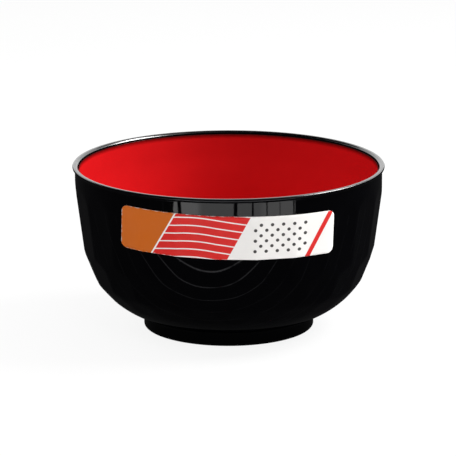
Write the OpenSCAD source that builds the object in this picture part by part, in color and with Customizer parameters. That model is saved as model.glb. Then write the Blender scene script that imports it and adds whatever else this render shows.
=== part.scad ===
// Donburi bowl: a moulded black bowl with a flared lip and a foot ring, a red coat inside and a label outside.
// Millimetres, +Z up, the origin at the centre of the foot's underside, -Y is the front with the label.

/* [Bowl] */
// Outside diameter of the lip
bowl_d = 140; // [136:0.5:150]
// Height from the foot's underside to the top of the lip
bowl_h = 74.5; // [72:0.5:80]
// Thickness of the moulded wall
wall_t = 2.4; // [2:0.1:3]

/* [Wall shape] */
// Radius of the rounded lower body
curve_r = 39.4; // [38.6:0.2:41]
// How far the straight upper wall leans out, degrees
wall_lean = 7.3; // [6:0.1:8.5]
// Height of the plain upright band under the lip
band_h = 10.8; // [9:0.1:12]

/* [Lip] */
// Thickness of the wall at the lip, to which the band thins
lip_t = 1.8; // [1.7:0.1:2.4]
// How far the lip stands out past the band
lip_overhang = 1.05; // [0.9:0.05:1.2]
// Radius of the hollow under the lip
lip_hollow_r = 0.5; // [0.4:0.1:1.2]
// Radius of the lip's two rounded edges
lip_edge_r = 0.8; // [0.7:0.05:0.9]

/* [Foot] */
// Outside diameter of the foot ring
foot_d = 76.8; // [70:0.1:84]
// Thickness of the foot ring
foot_t = 3.4; // [3:0.1:5]
// Height of the base's underside above the table
base_lift = 4.4; // [3.6:0.1:5]
// Radius of the foot's outer bottom edge
foot_edge_r = 1; // [0.5:0.1:2]

/* [Facets] */
// Number of facets round the bowl in each row
facet_count = 24; // [16:1:30]
// Depth of the panels of the upper wall below the round body, at their middle
panel_depth = 0.65; // [0.3:0.05:0.9]
// Depth of the middle row's facets
facet_depth_mid = 1; // [0.5:0.05:1.1]
// Depth of the lower row's facets
facet_depth_low = 0.25; // [0.15:0.05:0.8]
// Downward tilt of the middle row's facets, degrees
facet_tilt_mid = 21.5; // [19:0.1:25]
// Downward tilt of the lower row's facets, degrees
facet_tilt_low = 41.5; // [40:0.5:48]
// Turn of the first panel from the right-hand side, degrees
facet_turn = 3; // [0:0.5:12]

/* [Red coat] */
// Thickness of the red coat
coat_t = 0.25; // [0.15:0.05:0.5]
// Drop from the top of the lip to the coat's edge
coat_drop = 1.5; // [1.3:0.1:3]

/* [Label] */
// Width of the label, measured straight across the front
label_w = 92; // [60:1:100]
// Height of the label
label_h = 19.6; // [12:0.2:20]
// Drop from the top of the lip to the label's middle
label_drop = 17.5; // [16.5:0.2:20.5]
// Shift of the label's middle to the right of the front
label_shift = -0.5; // [-1:0.25:1]
// Turn of the label, its left end up, degrees
label_turn = 1.5; // [-2:0.25:2]
// Radius of the label's corners
label_corner_r = 2.6; // [1:0.1:5]
// Thickness of the label's printed sheet
sheet_t = 0.15; // [0.1:0.01:0.3]
// Thickness of the label's glue layer
glue_t = 0.1; // [0.05:0.01:0.2]

/* [Hidden] */
$fn = 96;

// curves that meet run this far into each other, so that they cross cleanly
seam = 0.02;

// outside radius of the upright band, and the height of the band's two ends
band_r = bowl_d / 2 - lip_overhang;
hollow_reach = lip_hollow_r + lip_edge_r - seam;
bead_out = lip_hollow_r + lip_edge_r - lip_overhang;
bead_rise = sqrt(pow(hollow_reach, 2) - pow(bead_out, 2));
band_top = bowl_h - lip_edge_r - bead_rise;
band_low = band_top - band_h;

// centre of the rounded lower body: its arc runs into the leaning wall and stands base_lift clear of the table
curve_z = base_lift + curve_r;
curve_x = band_r + (curve_z - band_low) * tan(wall_lean) - (curve_r - seam) / cos(wall_lean);

// centres of the hollow under the lip and of the lip's outer and inner edges
hollow_x = band_r + lip_hollow_r;
outer_bead_x = bowl_d / 2 - lip_edge_r;
bead_z = bowl_h - lip_edge_r;
inner_reach = lip_hollow_r + lip_t - lip_edge_r + seam;
inner_bead_x = hollow_x - sqrt(pow(inner_reach, 2) - pow(bead_rise, 2));
outer_bead_a = asin(bead_rise / hollow_reach);
inner_bead_a = asin(bead_rise / inner_reach);

// top of the foot ring: it runs foot_lap up into the wall, measured at its outside
foot_r = foot_d / 2;
foot_lap = 0.35;
foot_top = curve_z - sqrt(pow(curve_r, 2) - pow(max(0, foot_r - curve_x), 2)) + foot_lap;

// blocks that cut the facets: they reach past the wall, and a panel's block runs up to the lip
facet_step = 360 / facet_count;
facet_cut = 8;
facet_span = 30;
panel_rise = 34;
far = 200;

// The outline from the axis to a surface lying `inset` inside the outer wall, up to the band's top.
// The wall's inside comes nearer to the outside at the band's top, where the wall is as thin as the lip.
module body_area(inset) {
    top_inset = inset > 0 ? inset - wall_t + lip_t : inset;
    arc_r = curve_r - inset;
    touch_r = arc_r - seam;
    touch = [curve_x + touch_r * cos(wall_lean), curve_z - touch_r * sin(wall_lean)];
    shoulder = band_low + inset * tan(wall_lean / 2);
    intersection() {
        translate([curve_x, curve_z]) circle(r = arc_r);
        square([far, curve_z]);
    }
    polygon([
        [0, curve_z - arc_r], [curve_x, curve_z - arc_r], touch, [band_r - inset, shoulder],
        [band_r - top_inset, band_top], [0, band_top]
    ]);
}

// A piece of a ring about the lip hollow's centre, from angle a1 to a2 above the inward direction.
module hollow_ring(r1, r2, a1, a2) {
    translate([hollow_x, band_top]) intersection() {
        difference() {
            circle(r = r2);
            circle(r = r1);
        }
        polygon([[0, 0], far * [-cos(a1), sin(a1)], far * [-cos(a2), sin(a2)]]);
    }
}

module lip_area() {
    hollow_ring(lip_hollow_r, lip_hollow_r + lip_t, 0, inner_bead_a);
    hollow_ring(lip_hollow_r, inner_reach, inner_bead_a, outer_bead_a);
    translate([outer_bead_x, bead_z]) circle(r = lip_edge_r);
    translate([inner_bead_x, bead_z]) circle(r = lip_edge_r);
    translate([inner_bead_x, bead_z]) square([outer_bead_x - inner_bead_x, lip_edge_r - seam]);
}

module foot_area() {
    translate([foot_r - foot_t, foot_edge_r]) square([foot_t, foot_top - foot_edge_r]);
    translate([foot_r - foot_t, 0]) square([foot_t - foot_edge_r, foot_edge_r]);
    translate([foot_r - foot_edge_r, foot_edge_r]) circle(r = foot_edge_r);
}

// One block whose inner face is a facet: tilted down, `depth` under the round body, `rise` up from its middle.
module facet_block(tilt, depth, rise) {
    translate([curve_x, 0, curve_z])
        rotate([0, tilt, 0])
        translate([curve_r - depth, -facet_span / 2, -facet_span / 2])
        cube([facet_cut, facet_span, facet_span / 2 + rise]);
}

// The upper wall's panels, lifted `lift` off the wall; with front_only, just those the label can lie on.
module panels(lift, front_only) {
    for (i = [0 : facet_count - 1]) {
        angle = facet_turn + i * facet_step;
        if (!front_only || sin(angle) < -0.5)
            rotate([0, 0, angle]) facet_block(wall_lean, panel_depth - lift, panel_rise);
    }
}

// A row of facets, turned from the panels by `turn`.
module facet_row(tilt, depth, turn) {
    for (i = [0 : facet_count - 1])
        rotate([0, 0, facet_turn + turn + i * facet_step]) facet_block(tilt, depth, facet_span / 2);
}

module round_wall() {
    rotate_extrude() difference() {
        body_area(0);
        body_area(wall_t);
    }
}

// The wall's outside with its front panels, all lifted `lift` off, filled to the axis.
module lifted_front(lift) {
    difference() {
        rotate_extrude() body_area(-lift);
        panels(lift, true);
    }
}

module bowl_shell() {
    color([0.03, 0.03, 0.035]) {
        difference() {
            round_wall();
            panels(0, false);
            facet_row(facet_tilt_mid, facet_depth_mid, facet_step / 2);
            facet_row(facet_tilt_low, facet_depth_low, 0);
        }
        rotate_extrude() lip_area();
        rotate_extrude() foot_area();
    }
}

module red_lining() {
    coat_a = asin((bowl_h - coat_drop - band_top) / (lip_hollow_r + lip_t));
    color([0.75, 0.05, 0.07]) rotate_extrude() {
        difference() {
            body_area(wall_t);
            body_area(wall_t + coat_t);
        }
        hollow_ring(lip_hollow_r + lip_t, lip_hollow_r + lip_t + coat_t, 0, coat_a);
    }
}

// A layer on the outside of the wall from depth d1 to d2 over it, cut to the label's rounded outline.
module label_layer(d1, d2) {
    half = [label_w / 2 - label_corner_r, label_h / 2 - label_corner_r];
    intersection() {
        difference() {
            lifted_front(d2);
            lifted_front(d1);
        }
        translate([label_shift, 0, bowl_h - label_drop]) rotate([90, label_turn, 0]) linear_extrude(far) {
            square([label_w, 2 * half[1]], center = true);
            square([2 * half[0], label_h], center = true);
            for (sx = [-1, 1], sz = [-1, 1])
                translate([sx * half[0], sz * half[1]]) circle(r = label_corner_r);
        }
    }
}

module label_adhesive() {
    color([0.85, 0.82, 0.7]) label_layer(0, glue_t);
}

module label_sheet() {
    color([0.95, 0.93, 0.9]) label_layer(glue_t, glue_t + sheet_t);
}

bowl_shell();
red_lining();
label_adhesive();
label_sheet();
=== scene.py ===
"""Looks of a black and red donburi bowl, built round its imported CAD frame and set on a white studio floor.

Sizes of the bowl are in millimetres until a mesh is finished, when it is scaled to metres.
Sizes of the studio are in metres.
"""

import logging
import math
from dataclasses import dataclass, field
from enum import Enum, IntEnum
from functools import cached_property

import bmesh
import bpy
from mathutils import Euler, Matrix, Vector, noise


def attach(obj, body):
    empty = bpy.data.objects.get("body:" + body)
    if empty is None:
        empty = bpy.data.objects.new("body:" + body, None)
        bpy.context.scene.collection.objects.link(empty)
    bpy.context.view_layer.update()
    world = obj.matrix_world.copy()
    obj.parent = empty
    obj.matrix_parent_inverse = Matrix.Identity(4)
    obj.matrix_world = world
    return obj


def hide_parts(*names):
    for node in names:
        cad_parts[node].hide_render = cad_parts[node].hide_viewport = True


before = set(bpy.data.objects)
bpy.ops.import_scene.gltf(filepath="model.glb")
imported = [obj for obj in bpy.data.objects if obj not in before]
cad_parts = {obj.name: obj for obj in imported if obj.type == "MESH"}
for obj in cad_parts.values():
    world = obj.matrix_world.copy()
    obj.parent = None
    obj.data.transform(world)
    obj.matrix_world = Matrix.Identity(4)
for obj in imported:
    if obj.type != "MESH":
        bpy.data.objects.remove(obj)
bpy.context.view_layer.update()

MM = 0.001
QUARTER = math.pi / 2
# points of a turned mesh that lie closer than this are welded, in millimetres
WELD = 0.0005
# whole repeats added to a printed pattern's distances, to keep them above zero
REPEATS = 50.0
BODY = "root"
BMesh = bmesh.types.BMesh
Vert = bmesh.types.BMVert
Face = bmesh.types.BMFace
Layer = bmesh.types.BMLayerItem
Node = bpy.types.Node
Socket = bpy.types.NodeSocket
Material = bpy.types.Material
Colour = tuple[float, float, float, float]
Vector2 = tuple[float, float]
Place = tuple[float, float, float]
WHITE: Colour = (1.0, 1.0, 1.0, 1.0)
LOG = logging.getLogger("donburi")


class Slot(Enum):
    """The record's material slots."""

    BLACK_RESIN = "black_resin"
    RED_COAT = "red_coat"
    LABEL_GLUE = "label_glue"
    LABEL_PRINT = "label_print"


class Surface(IntEnum):
    """The parts of the shell that have finishes of their own, in the order of its materials."""

    BODY = 0
    LIP = 1
    HOLLOW = 2


class Rise(Enum):
    """How a ramp goes from 0 to 1."""

    GENTLE = "SMOOTHSTEP"
    STRAIGHT = "LINEAR"


@dataclass(frozen=True)
class FacetRow:
    """One row of flat facets round the bowl.

    The tilt is how far a facet looks down, the depth is how far its middle lies under the round body, and
    the turn is the angle of its first facet from the right-hand side.
    """

    tilt: float
    depth: float
    turn: float


@dataclass(frozen=True)
class BowlForm:
    """The sizes of the bowl, as the CAD frame has them, and the surfaces that follow from them."""

    bowl_r: float = 70.0
    bowl_h: float = 74.5
    wall_t: float = 2.4
    lip_t: float = 1.8
    curve_r: float = 39.4
    lean: float = math.radians(7.3)
    band_h: float = 10.8
    lip_overhang: float = 1.05
    hollow_r: float = 0.5
    edge_r: float = 0.8
    foot_r: float = 38.4
    foot_t: float = 3.4
    base_lift: float = 4.4
    foot_edge_r: float = 1.0
    facet_count: int = 24
    facet_turn: float = math.radians(3.0)
    panel_depth: float = 0.65
    mid_depth: float = 1.0
    low_depth: float = 0.25
    mid_tilt: float = math.radians(21.5)
    low_tilt: float = math.radians(41.5)
    facet_soft: float = 0.1
    coat_t: float = 0.25
    coat_drop: float = 1.5

    @property
    def band_r(self) -> float:
        """Outside radius of the upright band."""
        return self.bowl_r - self.lip_overhang

    @property
    def bead_z(self) -> float:
        """Height of the centres of the lip's two rounded edges."""
        return self.bowl_h - self.edge_r

    @property
    def bead_rise(self) -> float:
        """How far the lip's edges are centred above the hollow under the lip."""
        reach = self.hollow_r + self.edge_r
        return math.sqrt(reach**2 - (reach - self.lip_overhang) ** 2)

    @property
    def band_top(self) -> float:
        """Height at which the band turns out into the lip."""
        return self.bead_z - self.bead_rise

    @property
    def band_low(self) -> float:
        """Height at which the leaning wall meets the band."""
        return self.band_top - self.band_h

    @property
    def curve_z(self) -> float:
        """Height of the centre of the rounded lower body."""
        return self.base_lift + self.curve_r

    @property
    def curve_x(self) -> float:
        """Radius at which the rounded lower body is centred."""
        rise = self.curve_z - self.band_low
        return self.band_r + rise * math.tan(self.lean) - self.curve_r / math.cos(self.lean)

    @property
    def hollow_x(self) -> float:
        """Radius at which the hollow under the lip is centred."""
        return self.band_r + self.hollow_r

    @property
    def inner_turn(self) -> float:
        """Angle of the lip's inner edge about the hollow's centre, above the inward direction."""
        return math.asin(self.bead_rise / (self.hollow_r + self.lip_t - self.edge_r))

    @property
    def inner_bead_x(self) -> float:
        """Radius at which the lip's inner edge is centred."""
        return self.hollow_x - (self.hollow_r + self.lip_t - self.edge_r) * math.cos(self.inner_turn)

    @property
    def foot_join_z(self) -> float:
        """Height at which the foot's outside meets the body."""
        return self.curve_z - math.sqrt(self.curve_r**2 - (self.foot_r - self.curve_x) ** 2)

    @property
    def rows(self) -> tuple[FacetRow, ...]:
        """The panels of the upper wall and the two rows of facets under them."""
        panels = FacetRow(self.lean, self.panel_depth, self.facet_turn)
        middle = FacetRow(self.mid_tilt, self.mid_depth, self.facet_turn + math.pi / self.facet_count)
        return (panels, middle, FacetRow(self.low_tilt, self.low_depth, self.facet_turn))

    def inside_corner_z(self, inset: float) -> float:
        """Gives the height at which a surface lying `inset` inside the wall meets the band's inside."""
        return self.band_low + inset * math.tan(self.lean / 2)

    def round_radius(self, z: float) -> float:
        """Gives the outside radius of the round body, before its facets.

        Args:
            z: The height above the table.

        Returns:
            The radius.
        """
        touch_z = self.curve_z - self.curve_r * math.sin(self.lean)
        if z <= touch_z:
            return self.curve_x + math.sqrt(max(0.0, self.curve_r**2 - (self.curve_z - z) ** 2))
        return min(self.band_r, self.band_r - (self.band_low - z) * math.tan(self.lean))

    def wall_radius(self, angle: float, z: float) -> float:
        """Gives the outside radius of the body with its facets.

        Args:
            angle: The angle round the bowl from its right-hand side.
            z: The height above the table.

        Returns:
            The radius, with the facets' edges softened.
        """
        radius = self.round_radius(z)
        step = math.tau / self.facet_count
        for row in self.rows:
            reach = self.curve_r - row.depth + (z - self.curve_z) * math.sin(row.tilt)
            middle = self.curve_x + reach / math.cos(row.tilt)
            away = (angle - row.turn) % step
            for turn in (away, away - step):
                radius = soft_min(radius, middle / math.cos(turn), self.facet_soft)
        return radius


def soft_min(a: float, b: float, blend: float) -> float:
    """Gives the smaller of two numbers, rounding the change where they differ by less than the blend."""
    overlap = max(0.0, blend - abs(a - b)) / blend
    return min(a, b) - overlap**2 * blend / 4


class OutlinePen:
    """Draws a half section of a turned piece, stroke by stroke, in the plane of X (the radius) and Z."""

    def __init__(self, mesh: BMesh, radius: float, z: float) -> None:
        """Puts the pen down in a mesh, at a radius and a height."""
        self.mesh = mesh
        self.tip = mesh.verts.new((radius, 0.0, z))

    def line(self, radius: float, z: float, parts: int = 1) -> None:
        """Draws a straight stroke.

        Args:
            radius: The end's radius.
            z: The end's height.
            parts: The number of equal parts it is cut into.
        """
        part = (Vector((radius, 0.0, z)) - self.tip.co) / parts
        for _ in range(parts):
            stroke = bmesh.ops.extrude_vert_indiv(self.mesh, verts=[self.tip])
            self.tip = stroke["verts"][0]
            bmesh.ops.translate(self.mesh, vec=part, verts=[self.tip])

    def arc(self, radius: float, z: float, turn: float, parts: int) -> None:
        """Draws a round stroke about a centre.

        Args:
            radius: The centre's radius.
            z: The centre's height.
            turn: The angle turned, anticlockwise as seen from the front.
            parts: The number of equal parts it is cut into.
        """
        centre = (radius, 0.0, z)
        stroke = bmesh.ops.spin(
            self.mesh, geom=[self.tip], cent=centre, axis=(0.0, -1.0, 0.0), angle=turn, steps=parts
        )
        self.tip = next(item for item in stroke["geom_last"] if isinstance(item, Vert))

    def inside(self, form: BowlForm, inset: float, parts: tuple[int, ...]) -> None:
        """Draws a surface inside the wall, from the band's top down to the base's middle.

        Args:
            form: The bowl.
            inset: How far the surface lies inside the outer wall.
            parts: The numbers of parts in the band, the leaning wall, the curve and the base.
        """
        band, wall, curve, base = parts
        radius = form.curve_r - inset
        touch_x = form.curve_x + radius * math.cos(form.lean)
        touch_z = form.curve_z - radius * math.sin(form.lean)
        self.line(form.band_r - inset, form.inside_corner_z(inset), band)
        self.line(touch_x, touch_z, wall)
        self.arc(form.curve_x, form.curve_z, form.lean - QUARTER, curve)
        self.line(0.0, form.curve_z - radius, base)


def turn_outline(mesh: BMesh, start: float, steps: int) -> None:
    """Turns an outline into a closed solid about the Z axis, with its faces pointing out.

    Args:
        mesh: The mesh that holds the outline.
        start: The angle of the first section from the right-hand side.
        steps: The number of sections.
    """
    middle = (0, 0, 0)
    bmesh.ops.rotate(mesh, verts=mesh.verts, cent=middle, matrix=Euler((0, 0, start)).to_matrix())
    outline = mesh.verts[:] + mesh.edges[:]
    bmesh.ops.spin(
        mesh, geom=outline, cent=middle, axis=(0, 0, 1), angle=math.tau, steps=steps, use_merge=True
    )
    bmesh.ops.remove_doubles(mesh, verts=mesh.verts, dist=WELD)
    bmesh.ops.recalc_face_normals(mesh, faces=mesh.faces)


def finish_piece(mesh: BMesh, name: str, slot: Slot, *materials: Material) -> None:
    """Makes a finished mesh an object in metres, dresses it, and lets it stand for a CAD node.

    Args:
        mesh: The mesh in millimetres, which is freed.
        name: The name of the piece and of the node that it replaces.
        slot: The record's slot for its finish; it is not used.
        materials: The materials that it wears.
    """
    bmesh.ops.scale(mesh, vec=(MM, MM, MM), verts=mesh.verts)
    for face in mesh.faces:
        face.smooth = True
    data = bpy.data.meshes.new(name)
    mesh.to_mesh(data)
    mesh.free()
    for material in materials:
        data.materials.append(material)
    piece = bpy.data.objects.new(f"{name}_visual", data)
    bpy.context.scene.collection.objects.link(piece)
    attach(piece, BODY)
    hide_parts(name)
    LOG.info("%s: %d faces", piece.name, len(data.polygons))


class NodeBench:
    """Lays out the nodes of one material, or of the world, and joins them."""

    # a Mix node's numbers for its factor, its two colours and the colour that it gives
    MIX_INPUTS = (0, 6, 7)
    MIX_RESULT = 2
    PRINT_EDGE = 0.06

    def __init__(self, owner: Material | bpy.types.World) -> None:
        """Turns on the owner's nodes and clears them.

        Args:
            owner: The material or world.
        """
        owner.use_nodes = True
        self.owner = owner
        self.tree = owner.node_tree
        self.tree.nodes.clear()

    @classmethod
    def for_material(cls, name: str) -> "NodeBench":
        """Starts a material of that name and gives its bench."""
        return cls(bpy.data.materials.new(name))

    @cached_property
    def place(self) -> Socket:
        """The piece's own coordinates, in metres."""
        return self.add("TexCoord").outputs["Object"]

    def add(self, kind: str, *first: object, **values: object) -> Node:
        """Adds a node.

        Args:
            kind: The node's type, without its ShaderNode prefix.
            first: Values or sources for its first inputs.
            values: Properties of the node, and then values or sources for its inputs, with underscores
                for the spaces in their names.

        Returns:
            The node.
        """
        node = self.tree.nodes.new(f"ShaderNode{kind}")
        for key, value in values.items():
            if hasattr(node, key):
                setattr(node, key, value)
            else:
                self.set(node, key.replace("_", " "), value)
        for index, value in enumerate(first):
            self.set(node, index, value)
        return node

    def set(self, node: Node, key: str | int, value: object) -> None:
        """Gives one input of a node a value or a source.

        Args:
            node: The node.
            key: The input's name or number.
            value: The value, or the socket that it comes from.
        """
        if isinstance(value, Socket):
            self.tree.links.new(value, node.inputs[key])
        else:
            node.inputs[key].default_value = value

    def math(self, operation: str, *values: float | Socket) -> Socket:
        """Gives the result of a Math node's operation on the values or sources."""
        return self.add("Math", *values, operation=operation).outputs[0]

    def times(self, first: Socket, second: float | Socket) -> Socket:
        """Multiplies two numbers."""
        return self.math("MULTIPLY", first, second)

    def ramp(self, source: Socket, low: float, high: float, rise: Rise = Rise.GENTLE) -> Socket:
        """Gives a number from 0 to 1 as the source goes from low to high."""
        ends = {"From_Min": low, "From_Max": high}
        return self.add("MapRange", interpolation_type=rise.value, Value=source, **ends).outputs[0]

    def below(self, source: Socket, limit: float) -> Socket:
        """Gives 1 where the source is under the limit and 0 over it, with a sharp printed edge between."""
        return self.ramp(source, limit + self.PRINT_EDGE, limit - self.PRINT_EDGE, Rise.STRAIGHT)

    def spread(self, source: Socket, low: float, high: float) -> Socket:
        """Gives a number from low to high as the source goes from 0 to 1."""
        return self.add("MapRange", Value=source, To_Min=low, To_Max=high).outputs[0]

    def blend(self, factor: Socket, first: Colour | Socket, second: Colour | Socket) -> Socket:
        """Goes from one colour to another.

        Args:
            factor: How far to go, from 0 to 1.
            first: The colour at 0.
            second: The colour at 1.

        Returns:
            The colour between them.
        """
        node = self.add("Mix", data_type="RGBA")
        for key, value in zip(self.MIX_INPUTS, (factor, first, second)):
            self.set(node, key, value)
        return node.outputs[self.MIX_RESULT]

    def noise(self, patch: float, detail: float = 3.0, place: Socket | None = None) -> Socket:
        """Gives a cloudy pattern with patches of that size in millimetres."""
        spot = self.place if place is None else place
        return self.add("TexNoise", Vector=spot, Scale=1.0 / (patch * MM), Detail=detail).outputs[0]

    def height(self) -> Socket:
        """Gives the height above the table, in metres."""
        return self.add("SeparateXYZ", Vector=self.place).outputs["Z"]

    def close(self, shader: Node) -> Material:
        """Joins the shader to the output and gives the material."""
        self.add("OutputMaterial", Surface=shader.outputs[0])
        return self.owner


@dataclass(frozen=True)
class Finish:
    """What every finish has: an uneven gloss, a fine relief and, where it has a weight, a clear coat.

    Sizes of patches and the relief's depth are in millimetres.
    """

    name: str
    specular: float = 0.0
    roughness: Vector2 = (0.25, 0.4)
    gloss_patch: float = 5.0
    coat: float = 0.0
    coat_roughness: float = 0.05
    coat_ior: float = 1.5
    relief: float = 0.12
    relief_depth: float = 0.03

    def shade(self, bench: NodeBench, tint: Socket, height: Socket, coat: float | Socket) -> Material:
        """Makes the material from its colour and relief.

        Args:
            bench: The material's bench.
            tint: The colour.
            height: The relief's height.
            coat: The clear coat's weight.

        Returns:
            The material.
        """
        depth = self.relief_depth * MM
        bump = bench.add("Bump", Strength=self.relief, Distance=depth, Height=height).outputs[0]
        shader = bench.add(
            "BsdfPrincipled",
            Base_Color=tint,
            Roughness=bench.spread(bench.noise(self.gloss_patch), *self.roughness),
            Specular_IOR_Level=self.specular,
            Coat_Weight=coat,
            Coat_Roughness=self.coat_roughness,
            Coat_IOR=self.coat_ior,
            Normal=bump,
            Coat_Normal=bump,
        )
        return bench.close(shader)


@dataclass(frozen=True)
class BlackResinFinish(Finish):
    """Black resin under a thin clear coat, with fine wood pores, paler grain lines and a rubbed foot.

    The grain lines are pale on the body and faint in the band, and they are dull in the coat's gloss. Their
    pale colour is partly their own tone and partly a painted highlight for the light that their grooves
    catch.
    """

    name: str = "black_resin_body"
    coat: float = 0.017
    colour: Colour = (0.0003, 0.0003, 0.0006, 1.0)
    cloudy: Colour = (0.0009, 0.0009, 0.0013, 1.0)
    cloud_patch: float = 14.0
    # pale grain-line colour: partly the lines' own tone, partly a painted highlight for the light their
    # grooves catch
    line: Colour = (0.105, 0.105, 0.110, 1.0)
    line_power: float = 1.5
    line_patch: float = 9.0
    line_breaks: Vector2 = (0.30, 0.55)
    band_line: float = 0.05
    band_blend: float = 1.0
    dull: float = 2.2
    rubbed: Colour = (0.012, 0.011, 0.011, 1.0)
    rubbed_z: float = 1.6
    rubbed_patch: float = 3.0
    pores: float = 0.35
    pore_size: float = 0.5
    pore_range: Vector2 = (0.42, 0.6)
    dimple_size: float = 2.2

    def make(self, grain: "GrainRings", form: BowlForm) -> Material:
        """Makes the material, whose pores run along the grain.

        Args:
            grain: The grain rings of the wall.
            form: The bowl whose wall it is.

        Returns:
            The material.
        """
        bench = NodeBench.for_material(self.name)
        lines = bench.add("Attribute", attribute_name=grain.ATTRIBUTE).outputs["Fac"]
        turn = (0.0, 0.0, -grain.slant)
        turned = bench.add("Mapping", Vector=bench.place, Rotation=turn, Scale=grain.PORE_STRETCH)
        pores = bench.noise(self.pore_size, detail=4.0, place=turned.outputs[0])
        pores = bench.times(bench.ramp(pores, *self.pore_range), self.pores)
        relief = bench.math("ADD", pores, bench.noise(self.dimple_size, detail=1.0))
        height = bench.height()
        low = form.band_low - self.band_blend
        high = form.band_low + self.band_blend
        share = bench.spread(bench.ramp(height, low * MM, high * MM), 1.0, self.band_line)
        pale = bench.times(bench.math("POWER", lines, self.line_power), share)
        broken = bench.ramp(bench.noise(self.line_patch), *self.line_breaks)
        near_foot = bench.ramp(height, self.rubbed_z * MM, 0.0)
        rubbed = bench.times(near_foot, bench.noise(self.rubbed_patch))
        tint = bench.blend(bench.noise(self.cloud_patch), self.colour, self.cloudy)
        # paints the grain lines pale: partly their own tone, partly a painted highlight
        tint = bench.blend(bench.times(pale, broken), tint, self.line)
        tint = bench.blend(rubbed, tint, self.rubbed)
        coat = bench.spread(bench.times(lines, self.dull), self.coat, 0.0)
        return self.shade(bench, tint, relief, coat)


@dataclass(frozen=True)
class RedCoatFinish(Finish):
    """Glossy red coat, a little uneven, darker to black at its edge: partly thinning there, partly painted
    shade.
    """

    name: str = "red_coat_gloss"
    roughness: Vector2 = (0.3, 0.45)
    gloss_patch: float = 6.0
    coat: float = 0.12
    coat_roughness: float = 0.16
    relief: float = 0.15
    relief_depth: float = 0.04
    colour: Colour = (0.54, 0.009, 0.011, 1.0)
    deep: Colour = (0.47, 0.007, 0.009, 1.0)
    cloud_patch: float = 18.0
    # edge colour and its fade: partly the coat thinning over the black, partly painted shade near the rim
    edge: Colour = (0.03, 0.001, 0.001, 1.0)
    edge_fade: Vector2 = (-1.8, 0.3)
    edge_waver: float = 0.4
    edge_patch: float = 1.6
    speck_size: float = 0.7
    speck_range: Vector2 = (0.78, 0.84)
    dimple_size: float = 1.8

    def make(self, edge_z: float) -> Material:
        """Makes the material.

        Args:
            edge_z: The height of the coat's edge.

        Returns:
            The material.
        """
        bench = NodeBench.for_material(self.name)
        waver = bench.times(bench.noise(self.edge_patch), self.edge_waver * MM)
        low, high = ((edge_z + offset) * MM for offset in self.edge_fade)
        # darker towards the coat's edge: partly the coat thinning, partly painted shade near the rim
        thin = bench.ramp(bench.math("ADD", bench.height(), waver), low, high, Rise.STRAIGHT)
        tint = bench.blend(bench.noise(self.cloud_patch), self.colour, self.deep)
        specks = bench.ramp(bench.noise(self.speck_size, detail=0.0), *self.speck_range)
        height = bench.math("ADD", bench.noise(self.dimple_size, detail=1.0), specks)
        return self.shade(bench, bench.blend(thin, tint, self.edge), height, self.coat)


@dataclass(frozen=True)
class LabelGlueFinish(Finish):
    """Clear tacky film, a little cloudy."""

    name: str = "label_glue_film"
    specular: float = 0.5
    roughness: Vector2 = (0.35, 0.6)
    gloss_patch: float = 2.0
    relief: float = 0.3
    colour: Colour = (0.62, 0.58, 0.46, 1.0)
    cloudy: Colour = (0.48, 0.44, 0.34, 1.0)

    def make(self) -> Material:
        """Makes the material.

        Returns:
            The material.
        """
        bench = NodeBench.for_material(self.name)
        clouds = bench.noise(self.gloss_patch)
        return self.shade(bench, bench.blend(clouds, self.colour, self.cloudy), clouds, self.coat)


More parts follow.
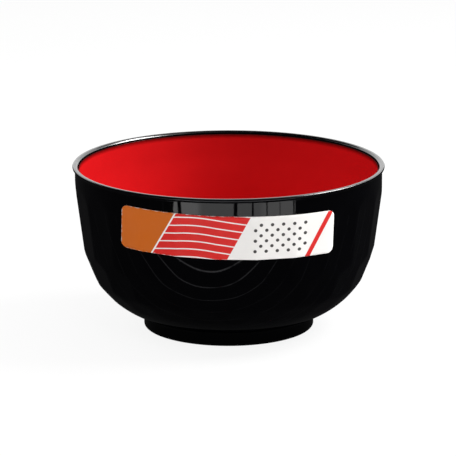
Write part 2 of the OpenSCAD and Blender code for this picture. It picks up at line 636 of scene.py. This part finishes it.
@dataclass(frozen=True)
class LabelPrintFinish(Finish):
    """Glossy label film with a plain design: slanted orange, red and white fields, wave lines and dots."""

    name: str = "label_print_film"
    specular: float = 0.003
    roughness: Vector2 = (0.3, 0.42)
    gloss_patch: float = 4.0
    relief: float = 0.1
    white: Colour = (0.84, 0.82, 0.80, 1.0)
    red: Colour = (0.63, 0.020, 0.018, 1.0)
    orange: Colour = (0.54, 0.12, 0.012, 1.0)
    dark: Colour = (0.06, 0.055, 0.055, 1.0)
    grime: Colour = (0.30, 0.28, 0.26, 1.0)
    clean: Vector2 = (0.94, 1.0)
    grime_patch: float = 8.0
    dimple_size: float = 1.5
    slant: float = -0.5
    orange_end: float = -28.0
    red_end: float = 5.0
    stripe: Vector2 = (38.6, 40.8)
    gap: float = 0.7
    wave_height: float = 1.4
    wave_length: float = 58.0
    wave_gap: float = 3.6
    line_t: float = 0.5
    dot_r: float = 0.75
    dot_gap: float = 2.4
    dots_from: Vector2 = (12.0, -6.0)
    dots_to: Vector2 = (33.6, 6.0)
    wear_width: float = 0.3
    wear_patch: float = 1.3
    wear_range: Vector2 = (0.4, 0.7)

    def make(self, half_width: float, half_height: float) -> Material:
        """Makes the material, which reads the label's own map: millimetres from its middle.

        Args:
            half_width: Half the label's width.
            half_height: Half the label's height.

        Returns:
            The material.
        """
        bench = NodeBench.for_material(self.name)
        flat = bench.add("SeparateXYZ", Vector=bench.add("UVMap", uv_map=FrontLabel.MAP).outputs[0])
        across, up = flat.outputs["X"], flat.outputs["Y"]
        tint = self.fields(bench, across, up)
        tint = bench.blend(self.dots(bench, across, up), tint, self.dark)
        side = bench.math("SUBTRACT", bench.math("ABSOLUTE", across), half_width)
        end = bench.math("SUBTRACT", bench.math("ABSOLUTE", up), half_height)
        rim = bench.ramp(bench.math("MAXIMUM", side, end), -self.wear_width, 0.0)
        rubbed = bench.ramp(bench.noise(self.wear_patch), *self.wear_range)
        tint = bench.blend(bench.times(rim, rubbed), tint, self.white)
        clean = bench.spread(bench.noise(self.grime_patch), *self.clean)
        tint = bench.blend(clean, self.grime, tint)
        return self.shade(bench, tint, bench.noise(self.dimple_size, detail=1.0), self.coat)

    def fields(self, bench: NodeBench, across: Socket, up: Socket) -> Socket:
        """Lays out the slanted colour fields, and the wave lines on the red one.

        Args:
            bench: The material's bench.
            across: The distance to the right of the label's middle.
            up: The distance up from the label's middle.

        Returns:
            The colour.
        """
        slanted = bench.math("ADD", across, bench.times(up, self.slant))
        swell = bench.math("SINE", bench.times(across, math.tau / self.wave_length))
        wave = bench.math("ADD", up, bench.times(swell, self.wave_height))
        wave = bench.math("ADD", wave, REPEATS * self.wave_gap)
        lines = bench.below(bench.math("PINGPONG", wave, self.wave_gap / 2), self.line_t / 2)
        red = bench.blend(lines, self.red, self.white)
        tint = bench.blend(bench.below(slanted, self.red_end), self.white, red)
        tint = bench.blend(bench.below(slanted, self.orange_end + self.gap), tint, self.white)
        tint = bench.blend(bench.below(slanted, self.orange_end), tint, self.orange)
        low, high = self.stripe
        stripe = bench.math("SUBTRACT", bench.below(slanted, high), bench.below(slanted, low))
        return bench.blend(stripe, tint, self.red)

    def dots(self, bench: NodeBench, across: Socket, up: Socket) -> Socket:
        """Lays out a block of staggered dots.

        Args:
            bench: The material's bench.
            across: The distance to the right of the label's middle.
            up: The distance up from the label's middle.

        Returns:
            1 on a dot and 0 elsewhere.
        """
        left, low = self.dots_from
        right, high = self.dots_to
        x = bench.math("SUBTRACT", across, left)
        y = bench.math("SUBTRACT", up, low)
        squares = []
        for operation in ("ADD", "SUBTRACT"):
            diagonal = bench.times(bench.math(operation, x, y), 0.5)
            diagonal = bench.math("ADD", diagonal, REPEATS * self.dot_gap)
            away = bench.math("PINGPONG", diagonal, self.dot_gap / 2)
            squares.append(bench.times(away, away))
        away = bench.math("SQRT", bench.times(bench.math("ADD", *squares), 2.0))
        dots = bench.below(away, self.dot_r)
        for along, start, end in ((across, left, right), (up, low, high)):
            off_middle = bench.math("ABSOLUTE", bench.math("SUBTRACT", along, (start + end) / 2))
            dots = bench.times(dots, bench.below(off_middle, (end - start + self.dot_gap) / 2))
        return dots


@dataclass(frozen=True)
class GrainRings:
    """Growth rings of a moulded wood grain: grooves where a stack of slanted sheets meets the wall.

    A sheet's level is its distance from the axis towards the front, in millimetres. The sheets lean with
    the body, stand upright above upright_z, and run out in the hollow under the lip.
    """

    ATTRIBUTE = "grain_line"
    PORE_STRETCH = (0.06, 1.0, 0.06)
    CUT_SNAP = 0.002
    BEHIND = 0.01

    slant: float = math.radians(7.77)
    rise: float = 0.15
    first: float = 77.6
    last: float = -52.0
    gaps: tuple[float, ...] = (1.35, 1.65, 2.0, 2.4, 3.3, 4.2, 4.9)
    heart: Vector2 = (66.0, 77.0)
    faintest: float = 0.2
    uneven: float = 0.5
    half_width: float = 0.18
    depth: float = 0.08
    waver: float = 0.3
    waver_size: float = 30.0
    hollow_part: float = 0.3
    upright_z: float = 55.8

    def normal(self) -> Vector:
        """Gives the direction across the sheets; its length is not one."""
        return Vector((-math.sin(self.slant), -math.cos(self.slant), self.rise))

    def levels(self) -> list[float]:
        """Spaces the rings from the front backwards: first by the gaps, then unevenly by the last gap.

        Returns:
            The rings' levels.
        """
        found = []
        level = self.first
        for gap in self.gaps:
            found.append(level)
            level -= gap
        while level > self.last:
            found.append(level)
            level -= self.gaps[-1] * (1.0 + self.uneven * math.sin(level))
        return found

    def strength(self, level: float) -> float:
        """Gives how strongly a ring shows: fully at the heart of the rings, less and unevenly further out.

        Args:
            level: The ring's level.

        Returns:
            The strength, from 0 to 1.
        """
        low, high = self.heart
        near = (level - low) / (high - low)
        if near < 0.0:
            return self.faintest * (1.0 - self.uneven * (1.0 + math.cos(level)) / 2)
        return self.faintest + (1.0 - self.faintest) * min(1.0, near) ** 2

    def score(self, mesh: BMesh, form: BowlForm) -> None:
        """Scores the rings' lines into the outside of the round wall, without pressing them in yet.

        The mesh is bent while it is cut, so that flat cuts give wavering lines.

        Args:
            mesh: The wall's mesh, in millimetres.
            form: The bowl whose outside it is.
        """
        rest = mesh.verts.layers.float_vector.new("rest")
        line = mesh.verts.layers.float.new(self.ATTRIBUTE)
        normal = self.normal()
        for vert in mesh.verts:
            vert[rest] = vert.co
            waver = self.waver * noise.noise(vert.co / self.waver_size)
            upright = self.rise * max(0.0, vert.co.z - self.upright_z)
            vert.co.xy /= max(1.0, vert.co.xy.length / form.band_r)
            vert.co += normal * ((waver - upright) / normal.length_squared)
        skin = [face for face in mesh.faces if self.on_wall(face, rest, form)]
        for level in self.levels():
            skin = self.groove(mesh, skin, level, line)
        for vert in mesh.verts:
            vert.co = vert[rest]
        mesh.verts.layers.float_vector.remove(rest)
        LOG.info("grain rings: %d", len(self.levels()))

    def press(self, mesh: BMesh) -> None:
        """Presses the scored lines into the wall as grooves, deepest at the heart of the rings.

        Args:
            mesh: The scored mesh.
        """
        line = mesh.verts.layers.float[self.ATTRIBUTE]
        mesh.normal_update()
        for vert in mesh.verts:
            vert.co -= vert.normal * (vert[line] * self.depth)

    def on_wall(self, face: Face, rest: Layer, form: BowlForm) -> bool:
        """Tells whether a face is on the outside of the body, between the foot and the hollow.

        Args:
            face: The face.
            rest: The layer that holds the places of the unbent mesh.
            form: The bowl whose outside it is.

        Returns:
            Whether the face is there.
        """
        middle = sum((vert[rest] for vert in face.verts), Vector()) / len(face.verts)
        top = form.band_top + self.hollow_part * form.bead_rise
        outside = middle.xy.length > form.round_radius(middle.z) - form.lip_t / 2
        return outside and form.foot_join_z < middle.z < top

    def groove(self, mesh: BMesh, skin: list[Face], level: float, line: Layer) -> list[Face]:
        """Cuts one groove along a sheet's level and marks its middle.

        Args:
            mesh: The wall's mesh.
            skin: The faces that may be cut.
            level: The sheet's level.
            line: The layer that takes the ring's strength in the groove, most along its middle.

        Returns:
            The faces that may be cut next, which lie further back.
        """
        normal = self.normal()
        near, behind = [], []
        for face in skin:
            levels = [normal.dot(vert.co) for vert in face.verts]
            if max(levels) < level - self.half_width:
                behind.append(face)
            elif min(levels) < level + self.half_width:
                near.append(face)
        edges = {edge for face in near for edge in face.edges}
        verts = {vert for face in near for vert in face.verts}
        geometry = [*near, *edges, *verts]
        for offset in (self.half_width, 0.0, -self.half_width):
            point = normal * ((level + offset) / normal.length_squared)
            cut = bmesh.ops.bisect_plane(
                mesh, geom=geometry, dist=self.CUT_SNAP, plane_co=point, plane_no=normal
            )
            geometry = cut["geom"]
        for vert in (item for item in geometry if isinstance(item, Vert)):
            near_line = 1.0 - abs(normal.dot(vert.co) - level) / self.half_width
            vert[line] = max(vert[line], near_line * self.strength(level))
        limit = level - self.half_width - self.BEHIND
        for face in (item for item in geometry if isinstance(item, Face)):
            if min(normal.dot(vert.co) for vert in face.verts) < limit:
                behind.append(face)
        return behind


@dataclass
class BowlShell:
    """The black moulded bowl: base, foot ring, faceted body, band and flared lip in one piece.

    A face of the lip's top has the lip's finish if the upward part of its normal is over outer_slope, or
    over inner_slope on the lip's inner edge. The parts are those of each stroke of the outline, in order.
    """

    form: BowlForm
    grain: GrainRings = field(default_factory=GrainRings)
    finish: BlackResinFinish = field(default_factory=BlackResinFinish)
    lip_finish: BlackResinFinish = BlackResinFinish(
        "black_resin_lip", coat=1.0, coat_roughness=0.14, coat_ior=1.75, specular=0.5, pores=0.0
    )
    hollow_finish: BlackResinFinish = BlackResinFinish(
        "black_resin_hollow", coat=0.026, coat_roughness=0.3, pores=0.0
    )
    outer_slope: float = 0.7
    inner_slope: float = 0.65
    foot_fillet: float = 0.5
    foot_margin: float = 0.1
    steps: int = 384
    base_parts: int = 3
    foot_parts: tuple[int, ...] = (2, 3, 6, 4)
    wall_parts: tuple[int, ...] = (46, 16, 9)
    lip_parts: tuple[int, ...] = (6, 14, 8, 5)
    inside_parts: tuple[int, ...] = (2, 2, 14, 2)

    def build(self) -> None:
        """Models the shell and dresses it."""
        mesh = bmesh.new()
        self.draw(mesh)
        turn_outline(mesh, self.form.facet_turn, self.steps)
        self.grain.score(mesh, self.form)
        self.cut_facets(mesh)
        self.grain.press(mesh)
        mesh.normal_update()
        for face in mesh.faces:
            face.material_index = self.surface_of(face).value
        finishes = (self.finish, self.lip_finish, self.hollow_finish)
        materials = [finish.make(self.grain, self.form) for finish in finishes]
        finish_piece(mesh, "bowl_shell", Slot.BLACK_RESIN, *materials)

    def surface_of(self, face: Face) -> Surface:
        """Tells which part of the shell a face belongs to.

        Args:
            face: The face.

        Returns:
            The part.
        """
        form = self.form
        middle = face.calc_center_median()
        if middle.z < form.band_top:
            return Surface.BODY
        slope = self.outer_slope if middle.xy.length > form.inner_bead_x else self.inner_slope
        if middle.z > form.bead_z and face.normal.z > slope:
            return Surface.LIP
        return Surface.HOLLOW if face.normal.xy.dot(middle.xy) > 0.0 else Surface.BODY

    def draw(self, mesh: BMesh) -> None:
        """Draws the half section, from the base's middle outside to its middle inside.

        Args:
            mesh: The mesh to draw in.
        """
        form = self.form
        foot_in = form.foot_r - form.foot_t
        inner, fillet, edge, outer = self.foot_parts
        curve, lean, band = self.wall_parts
        pen = OutlinePen(mesh, 0.0, form.base_lift)
        pen.line(form.curve_x, form.base_lift, self.base_parts)
        start = math.asin((foot_in - form.curve_x) / form.curve_r)
        pen.arc(form.curve_x, form.curve_z, start, self.base_parts)
        pen.line(foot_in, self.foot_fillet, inner)
        pen.arc(foot_in + self.foot_fillet, self.foot_fillet, QUARTER, fillet)
        pen.line(form.foot_r - form.foot_edge_r, 0.0)
        pen.arc(form.foot_r - form.foot_edge_r, form.foot_edge_r, QUARTER, edge)
        join = math.asin((form.foot_r - form.curve_x) / form.curve_r)
        pen.line(form.foot_r, form.foot_join_z, outer)
        pen.arc(form.curve_x, form.curve_z, QUARTER - form.lean - join, curve)
        pen.line(form.band_r, form.band_low, lean)
        pen.line(form.band_r, form.band_top, band)
        self.draw_lip(pen)
        pen.inside(form, form.wall_t, self.inside_parts)

    def draw_lip(self, pen: OutlinePen) -> None:
        """Draws the hollow under the lip, its rounded edges and flat top, and its inside.

        Args:
            pen: The pen, at the band's top.
        """
        form = self.form
        hollow, outer, inner, inside = self.lip_parts
        outer_turn = math.asin(form.bead_rise / (form.hollow_r + form.edge_r))
        pen.arc(form.hollow_x, form.band_top, -outer_turn, hollow)
        pen.arc(form.bowl_r - form.edge_r, form.bead_z, QUARTER + outer_turn, outer)
        pen.line(form.inner_bead_x, form.bowl_h)
        pen.arc(form.inner_bead_x, form.bead_z, QUARTER - form.inner_turn, inner)
        pen.arc(form.hollow_x, form.band_top, form.inner_turn, inside)

    def cut_facets(self, mesh: BMesh) -> None:
        """Moves the outside of the body in to its facets.

        Args:
            mesh: The round shell's mesh.
        """
        form = self.form
        for vert in mesh.verts:
            x, y, z = vert.co
            radius = math.hypot(x, y)
            between = form.foot_join_z + self.foot_margin < z < form.band_top
            if between and radius >= form.round_radius(z) - form.wall_t / 2:
                vert.co.xy *= min(radius, form.wall_radius(math.atan2(y, x), z)) / radius


@dataclass
class RedLining:
    """The red coat that covers the inside of the bowl up to a little under the lip's top."""

    form: BowlForm
    finish: RedCoatFinish = field(default_factory=RedCoatFinish)
    steps: int = 240
    back_parts: tuple[int, ...] = (2, 20, 3, 3)
    lip_parts: int = 5
    face_parts: tuple[int, ...] = (6, 8, 36, 8)

    def build(self) -> None:
        """Models the coat, its back first and then its face, and dresses it."""
        form = self.form
        mesh = bmesh.new()
        edge_z = form.bowl_h - form.coat_drop
        back_r = form.hollow_r + form.lip_t
        face_r = back_r + form.coat_t
        rise = math.asin((edge_z - form.band_top) / back_r)
        base, curve, wall, lip = self.back_parts
        pen = OutlinePen(mesh, 0.0, form.base_lift + form.wall_t)
        pen.line(form.curve_x, form.base_lift + form.wall_t, base)
        pen.arc(form.curve_x, form.curve_z, QUARTER - form.lean, curve)
        pen.line(form.band_r - form.wall_t, form.inside_corner_z(form.wall_t), wall)
        pen.line(form.band_r - form.lip_t, form.band_top, wall)
        pen.arc(form.hollow_x, form.band_top, -rise, lip)
        pen.line(form.hollow_x - face_r * math.cos(rise), form.band_top + face_r * math.sin(rise))
        pen.arc(form.hollow_x, form.band_top, rise, self.lip_parts)
        pen.inside(form, form.wall_t + form.coat_t, self.face_parts)
        turn_outline(mesh, form.facet_turn, self.steps)
        finish_piece(mesh, "red_lining", Slot.RED_COAT, self.finish.make(edge_z))


@dataclass
class FrontLabel:
    """The self-adhesive label on the front: a glue layer under a printed film, laid over the panels."""

    MAP = "flat"
    CUT_SNAP = 0.01
    ROUND_PROFILE = 0.5

    form: BowlForm
    width: float = 92.0
    height: float = 19.6
    shift: float = -0.5
    middle_z: float = 57.0
    turn: float = math.radians(1.5)
    corner_r: float = 2.6
    corner_parts: int = 8
    glue_t: float = 0.1
    film_t: float = 0.15
    cell: float = 1.0
    fit_rounds: int = 6
    glue_finish: LabelGlueFinish = field(default_factory=LabelGlueFinish)
    print_finish: LabelPrintFinish = field(default_factory=LabelPrintFinish)

    def build(self) -> None:
        """Models the two layers and dresses them."""
        glue = self.layer(0.0, self.glue_t)
        film = self.layer(self.glue_t, self.glue_t + self.film_t)
        printed = self.print_finish.make(self.width / 2, self.height / 2)
        finish_piece(glue, "label_adhesive", Slot.LABEL_GLUE, self.glue_finish.make())
        finish_piece(film, "label_sheet", Slot.LABEL_PRINT, printed)

    def layer(self, low: float, high: float) -> BMesh:
        """Makes one layer of the label.

        Args:
            low: The height of its back above the wall.
            high: The height of its face above the wall.

        Returns:
            The layer's mesh, laid on the wall.
        """
        mesh = bmesh.new()
        bmesh.ops.create_grid(mesh, x_segments=1, y_segments=1, size=0.5)
        bmesh.ops.scale(mesh, vec=(self.width, self.height, 1.0), verts=mesh.verts)
        corner = {"offset": self.corner_r, "segments": self.corner_parts, "profile": self.ROUND_PROFILE}
        corners = mesh.verts[:]
        bmesh.ops.bevel(
            mesh, geom=corners, offset_type="OFFSET", affect="VERTICES", material=-1, **corner
        )
        self.slice(mesh, Vector((1, 0, 0)), self.width)
        self.slice(mesh, Vector((0, 1, 0)), self.height)
        raised = bmesh.ops.extrude_face_region(mesh, geom=mesh.faces[:])
        verts = [item for item in raised["geom"] if isinstance(item, Vert)]
        bmesh.ops.translate(mesh, vec=(0, 0, high - low), verts=verts)
        bmesh.ops.translate(mesh, vec=(0, 0, low), verts=mesh.verts)
        bmesh.ops.recalc_face_normals(mesh, faces=mesh.faces)
        flat = mesh.loops.layers.uv.new(self.MAP)
        for face in mesh.faces:
            for loop in face.loops:
                loop[flat].uv = loop.vert.co.xy
        for vert in mesh.verts:
            vert.co = self.on_wall(vert.co)
        return mesh

    def slice(self, mesh: BMesh, across: Vector, length: float) -> None:
        """Cuts a flat label into strips of one cell, so that it can bend.

        Args:
            mesh: The flat label.
            across: The direction across the cuts.
            length: The label's length in that direction.
        """
        count = round(length / self.cell)
        for index in range(1, count):
            point = across * (length * (index / count - 0.5))
            geometry = mesh.verts[:] + mesh.edges[:] + mesh.faces[:]
            bmesh.ops.bisect_plane(
                mesh, geom=geometry, dist=self.CUT_SNAP, plane_co=point, plane_no=across
            )

    def on_wall(self, flat: Vector) -> Vector:
        """Lays one point of the flat label on the wall.

        Args:
            flat: The point across and up from the label's middle, and its height above the wall.

        Returns:
            The point in the bowl's frame.
        """
        x = self.shift + flat.x * math.cos(self.turn) + flat.y * math.sin(self.turn)
        z = self.middle_z - flat.x * math.sin(self.turn) + flat.y * math.cos(self.turn)
        radius = self.form.band_r
        for _ in range(self.fit_rounds):
            angle = math.asin(x / radius) - QUARTER
            radius = self.form.wall_radius(angle, z) + flat.z / math.cos(self.form.lean)
        return Vector((x, -math.sqrt(radius**2 - x**2), z))


@dataclass(frozen=True)
class SoftBox:
    """One soft studio lamp, with its two side lengths, its power in watts and the point it looks at."""

    name: str
    place: Place
    size: Vector2
    power: float
    target: Place = (0.0, 0.0, 0.05)
    in_gloss: bool = False

    def build(self) -> None:
        """Makes the lamp, which no camera sees."""
        data = bpy.data.lights.new(self.name, "AREA")
        data.shape = "RECTANGLE"
        data.size, data.size_y = self.size
        data.energy = self.power
        lamp = bpy.data.objects.new(self.name, data)
        lamp.location = self.place
        look = Vector(self.target) - Vector(self.place)
        lamp.rotation_euler = look.to_track_quat("-Z", "Y").to_euler()
        lamp.visible_camera = False
        lamp.visible_glossy = self.in_gloss
        bpy.context.scene.collection.objects.link(lamp)


def stage_sheet(mesh: BMesh, material: Material, gloss_only: bool) -> None:
    """Makes a finished mesh a sheet of the studio's stage.

    Args:
        mesh: The sheet's mesh in metres, which is freed.
        material: The material that it wears, whose name it takes.
        gloss_only: Whether it shows in gloss alone and neither lights nor shades anything.
    """
    data = bpy.data.meshes.new(material.name)
    mesh.to_mesh(data)
    mesh.free()
    data.materials.append(material)
    sheet = bpy.data.objects.new(material.name, data)
    sheet.visible_camera = not gloss_only
    sheet.visible_diffuse = not gloss_only
    sheet.visible_shadow = not gloss_only
    bpy.context.scene.collection.objects.link(sheet)


@dataclass(frozen=True)
class TopFlag:
    """A black sheet over the studio, for gloss alone: it keeps the inside of the lip black."""

    size: float = 2.6
    height: float = 1.05
    colour: Colour = (0.0, 0.0, 0.0, 1.0)

    def build(self) -> None:
        """Makes the sheet."""
        mesh = bmesh.new()
        bmesh.ops.create_grid(mesh, x_segments=1, y_segments=1, size=self.size / 2)
        bmesh.ops.translate(mesh, vec=(0.0, 0.0, self.height), verts=mesh.verts)
        bench = NodeBench.for_material("top_flag")
        material = bench.close(bench.add("BsdfDiffuse", Color=self.colour))
        stage_sheet(mesh, material, gloss_only=True)


@dataclass(frozen=True)
class FrontCard:
    """A bright sheet on the floor before the bowl, for gloss alone: it gives the band its pale reflection.

    Its sides run out from the bowl, its two ends are brighter than its middle, and it fades towards the
    bowl. A bearing is how far a place lies to the right for each metre before the bowl.
    """

    near_y: float = -0.152
    full_y: float = -0.165
    far_y: float = -0.385
    near_x: Vector2 = (-0.099, 0.132)
    far_x: Vector2 = (-0.3054, 0.4072)
    height: float = 0.002
    glow: float = 68.0
    left_gain: float = 0.7
    left_bearing: Vector2 = (-0.30, -0.40)
    right_gain: float = 0.25
    right_bearing: Vector2 = (0.35, 0.45)

    def build(self) -> None:
        """Makes the sheet."""
        mesh = bmesh.new()
        bmesh.ops.create_grid(mesh, x_segments=1, y_segments=1, size=0.5)
        for y, (left, right) in ((self.far_y, self.far_x), (self.near_y, self.near_x)):
            edge = [vert for vert in mesh.verts if (vert.co.y > 0.0) == (y == self.near_y)]
            bmesh.ops.scale(mesh, vec=(right - left, 0.0, 0.0), verts=edge)
            bmesh.ops.translate(mesh, vec=((left + right) / 2, y, self.height), verts=edge)
        stage_sheet(mesh, self.finish(), gloss_only=True)

    def finish(self) -> Material:
        """Makes the sheet's glow, which changes with the bearing from the bowl.

        Returns:
            The material.
        """
        bench = NodeBench.for_material("front_card")
        place = bench.add("SeparateXYZ", Vector=bench.place).outputs
        bearing = bench.math("DIVIDE", place["X"], bench.times(place["Y"], -1.0))
        strength = bench.times(bench.ramp(place["Y"], self.near_y, self.full_y), self.glow)
        gain = 1.0
        for end, more in ((self.left_bearing, self.left_gain), (self.right_bearing, self.right_gain)):
            gain = bench.math("ADD", bench.times(bench.ramp(bearing, *end), more), gain)
        strength = bench.times(gain, strength)
        return bench.close(bench.add("Emission", Color=WHITE, Strength=strength))


@dataclass
class Studio:
    """The white floor, the soft boxes, the two sheets for gloss, the world and the camera."""

    floor_size: float = 30.0
    floor_parts: int = 4
    floor_glow: float = 0.89
    floor_shade: Colour = (0.09, 0.09, 0.09, 1.0)
    floor_pale: Colour = (0.75, 0.75, 0.75, 1.0)
    ambient: float = 0.36
    camera_place: Place = (0.0, -1.346, 0.3833)
    camera_turn: Place = (math.radians(75.869), math.radians(0.09), math.radians(-0.011))
    camera_lens: float = 242.9
    camera_reach: float = 100.0
    lamps: tuple[SoftBox, ...] = (
        SoftBox("right_box", (0.62, 0.10, 0.66), (0.5, 0.4), 12.0, in_gloss=True),
        SoftBox("left_box", (-0.62, 0.10, 0.66), (0.5, 0.4), 3.0),
        SoftBox("top_box", (0.0, 0.0, 0.90), (0.6, 0.6), 2.0),
        SoftBox("front_box", (0.15, -0.90, 0.75), (0.5, 0.4), 2.0),
        SoftBox("back_box", (0.0, 0.95, 0.44), (1.4, 0.28), 1.0, target=(0.0, 0.0, 0.07)),
    )
    front_card: FrontCard = field(default_factory=FrontCard)
    top_flag: TopFlag = field(default_factory=TopFlag)

    def build(self) -> None:
        """Sets up the whole studio."""
        self.build_floor()
        self.build_world()
        for item in (*self.lamps, self.front_card, self.top_flag):
            item.build()
        self.build_camera()
        bpy.context.scene.view_settings.view_transform = "Standard"

    def build_floor(self) -> None:
        """Lays the floor, which looks white, keeps the shadow and throws back light like a pale floor."""
        bench = NodeBench.for_material("studio_floor")
        pale = bench.add("BsdfDiffuse", Color=self.floor_pale)
        shaded = bench.add("BsdfDiffuse", Color=self.floor_shade)
        glow = bench.add("Emission", Color=WHITE, Strength=self.floor_glow)
        white = bench.add("AddShader", glow.outputs[0], shaded.outputs[0])
        surface = self.show(bench, pale, white)
        mesh = bmesh.new()
        parts = self.floor_parts
        bmesh.ops.create_grid(mesh, x_segments=parts, y_segments=parts, size=self.floor_size / 2)
        stage_sheet(mesh, bench.close(surface), gloss_only=False)

    def build_world(self) -> None:
        """Makes the even light all round, and a white background where one is seen."""
        world = bpy.data.worlds.new("studio_world")
        bench = NodeBench(world)
        light = bench.add("Background", Color=WHITE, Strength=self.ambient)
        white = bench.add("Background", Color=WHITE, Strength=1.0)
        bench.add("OutputWorld", Surface=self.show(bench, light, white).outputs[0])
        bpy.context.scene.world = world

    @staticmethod
    def show(bench: NodeBench, hidden: Node, shown: Node) -> Node:
        """Joins what lights the bowl and what is seen: by the camera, in gloss and through glass.

        Args:
            bench: The bench of the two shaders.
            hidden: The shader that other rays meet.
            shown: The shader that is seen.

        Returns:
            The joined shader.
        """
        path = bench.add("LightPath").outputs
        seen = bench.math("MAXIMUM", path["Is Camera Ray"], path["Is Glossy Ray"])
        seen = bench.math("MAXIMUM", seen, path["Is Transmission Ray"])
        return bench.add("MixShader", seen, hidden.outputs[0], shown.outputs[0])

    def build_camera(self) -> None:
        """Sets the camera at the photograph's viewing angle."""
        data = bpy.data.cameras.new("studio_camera")
        data.lens = self.camera_lens
        data.clip_end = self.camera_reach
        camera = bpy.data.objects.new("studio_camera", data)
        camera.location = self.camera_place
        camera.rotation_euler = self.camera_turn
        bpy.context.scene.collection.objects.link(camera)
        bpy.context.scene.camera = camera


def main() -> None:
    """Builds the bowl, its lining and its label, and sets them in the studio."""
    logging.basicConfig(level=logging.INFO, format="%(name)s: %(message)s")
    form = BowlForm()
    BowlShell(form).build()
    RedLining(form).build()
    FrontLabel(form).build()
    Studio().build()


if __name__ == "__main__":
    main()
